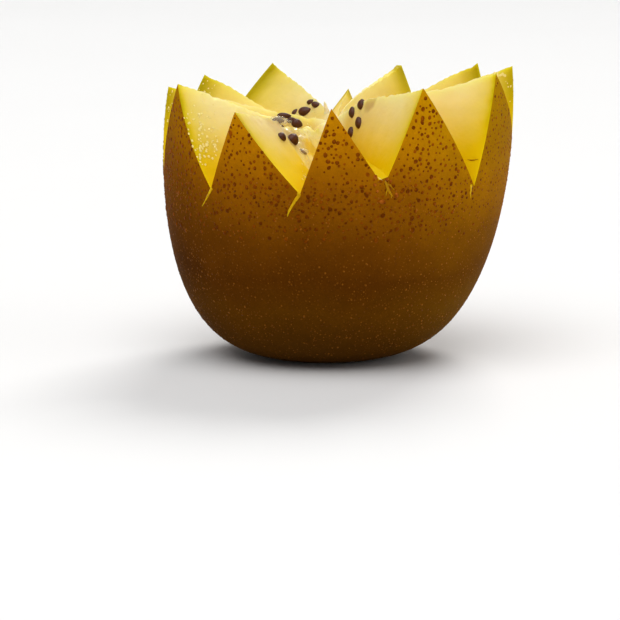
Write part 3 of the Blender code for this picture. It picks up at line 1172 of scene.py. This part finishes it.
def spot_places(fruit, rule, draw):
    """Places of corky spots by one of the rules above, from one start of the random draws."""
    count, heights, gap, widths, stretch, rise = rule
    chance = random.Random(draw)
    places = []
    for point, out in skin_sites(fruit, count, heights, gap, chance):
        share = chance.random()
        small = min(1.0, max(0.0, (point.x / MM - SMALLER_FROM) / SMALLER_WIDTH))
        width = (widths[0] + (widths[1] - widths[0]) * share ** 2) * (1.0 - SMALLER_SHARE * small)
        length = width * (1.0 + stretch * chance.random() ** 3)
        slant = Matrix.Rotation(chance.gauss(0.0, 0.5), 3, out)
        lengthways = slant @ out.cross(Vector((1.0, 0.0, 0.0)).cross(out)).cross(out)
        _, found, normal, _ = under(fruit, point, out)
        places.append(standing_frame(found, normal, lengthways, (width, length, 2.0 * rise * width)))
    return places


def large_spot_places(camera, fruit):
    """Places of the larger spots beside the slits."""
    places = []
    for pixel, width, height in LARGE_SPOTS:
        point, normal, _ = seen_by(camera, fruit, pixel)
        sizes = (width, height, 0.7 * min(width, height))
        places.append(standing_frame(point, normal, in_picture(camera, 90.0), sizes))
    return places


def make_spots(camera, fruit):
    """Corky spots: dark on the crown, larger and russet beside the slits, small and tan lower down."""
    places = {
        "crown_spots": spot_places(fruit, CROWN_SPOTS, CROWN_DRAW),
        "russet_spots": large_spot_places(camera, fruit),
        "lower_dots": spot_places(fruit, LOWER_DOTS, LOWER_DRAW),
    }
    for name, (dark, light, painted_right_light, facets, jitter) in SPOT_PIECES.items():
        material = spot_material(name, dark, light, painted_right_light)
        spots = scatter(name, ball_form("spot_form", *facets), places[name], material, jitter)
        finish_piece(spots)


def stroke(name, camera, fruit, pixels, widths):
    """Thin tapered strip on the surface under a line of pixels."""
    curve = bpy.data.curves.new(name, "CURVE")
    curve.dimensions = "3D"
    curve.bevel_depth = STROKE_RADIUS * MM
    curve.bevel_resolution = 3
    curve.use_fill_caps = True
    steps = np.linspace(0.0, len(pixels) - 1.0, STROKE_STEPS * (len(pixels) - 1) + 1)
    marks = range(len(pixels))
    line = curve.splines.new("POLY")
    line.points.add(len(steps) - 1)
    for corner, step in zip(line.points, steps):
        pixel = [np.interp(step, marks, [mark[axis] for mark in pixels]) for axis in (0, 1)]
        width = np.interp(step, marks, widths)
        point, normal, _ = seen_by(camera, fruit, pixel)
        corner.co = (*(point - normal * (STROKE_SINK * width - STROKE_LIFT) * MM), 1.0)
        corner.radius = width
    strip = bpy.data.objects.new(name, curve)
    bpy.context.scene.collection.objects.link(strip)
    activate(strip)
    bpy.ops.object.convert(target="MESH")
    return bpy.context.object


def make_strokes(name, camera, fruit, lines, material):
    """Several strips joined in one piece."""
    strips = [stroke(name, camera, fruit, pixels, widths) for pixels, widths in lines]
    activate(strips[0])
    for strip in strips:
        strip.select_set(True)
    if len(strips) > 1:
        bpy.ops.object.join()
    piece = name_active(name)
    piece.data.materials.clear()
    piece.data.materials.append(material)
    edit_all()
    bpy.ops.mesh.remove_doubles(threshold=0.001 * MM)
    bpy.ops.mesh.normals_make_consistent(inside=False)
    bpy.ops.object.mode_set(mode="OBJECT")
    bpy.ops.object.shade_smooth()
    finish_piece(piece)


def make_core_flake(fruit):
    """Small torn flake that stands up from the core."""
    above = Vector((*FLAKE_PLACE, DROP_HEIGHT)) * MM
    _, foot, _, _ = fruit.ray_cast(above, DOWN)
    clear_selection()
    bpy.ops.mesh.primitive_cone_add(
        vertices=24,
        radius1=FLAKE_RADIUS * MM,
        radius2=FLAKE_TIP_RADIUS * MM,
        depth=(FLAKE_HEIGHT + FLAKE_ROOT) * MM,
        location=foot,
    )
    flake = name_active("core_flake")
    bpy.ops.object.transform_apply(location=True, rotation=False, scale=False)
    edit_all()
    bpy.ops.mesh.subdivide(number_cuts=5)
    bpy.ops.object.mode_set(mode="OBJECT")
    for corner in flake.data.vertices:
        rise = (corner.co.z - foot.z) / (FLAKE_HEIGHT * MM)
        rough = noise.noise(corner.co / (0.35 * MM))
        corner.co.x += (FLAKE_LEAN * rise + 0.12 * rough) * MM
        corner.co.y += 0.1 * rough * MM
        corner.co.z += 0.5 * (FLAKE_HEIGHT - FLAKE_ROOT) * MM
    flake.data.materials.append(slit_material("core_flesh", (240, 222, 168), (250, 238, 200)))
    bpy.ops.object.shade_smooth()
    finish_piece(flake)


def make_scar():
    """Dry corky button in the hollow that the stem left under the fruit."""
    clear_selection()
    middle = (STEM_X, 0.0, BUTTON_MIDDLE * SCAR_DEPTH)
    bpy.ops.mesh.primitive_uv_sphere_add(segments=48, ring_count=24, radius=1.0, location=middle)
    scar = name_active("stem_scar")
    radius = BUTTON_RADIUS * SCAR_RADIUS
    scar.scale = (radius, radius * DEPTH_RATIO, BUTTON_HALF_HEIGHT * SCAR_DEPTH)
    bpy.ops.object.transform_apply(location=True, rotation=False, scale=True)
    for corner in scar.data.vertices:
        outwards = math.hypot(corner.co.x - STEM_X, corner.co.y) / SCAR_RADIUS
        rough = noise.noise(corner.co / (0.6 * MM))
        lift = 0.16 * rough + 0.22 * math.cos(outwards * 9.0) * outwards
        corner.co.z = max(0.02 * MM, corner.co.z + lift * SCAR_DEPTH)
    scar.data.materials.append(spot_material("stem_scar", (92, 58, 30), (128, 86, 48), 0.0))
    bpy.ops.object.shade_smooth()
    finish_piece(scar)


def build():
    """Make the dressed fruit and its room."""
    camera = place_camera()
    light_scene()
    make_floor()
    fruit = make_fruit(skin_material(), flesh_material())
    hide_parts(NODE)
    finish_piece(fruit)
    make_seeds(camera, fruit)
    make_jelly(camera, fruit)
    make_juice(camera, fruit)
    make_spots(camera, fruit)
    for name, lines, kind, dark, light, slot in STRIP_PIECES:
        make_strokes(name, camera, fruit, lines, slit_material(kind, dark, light))
    make_core_flake(fruit)
    make_scar()


build()
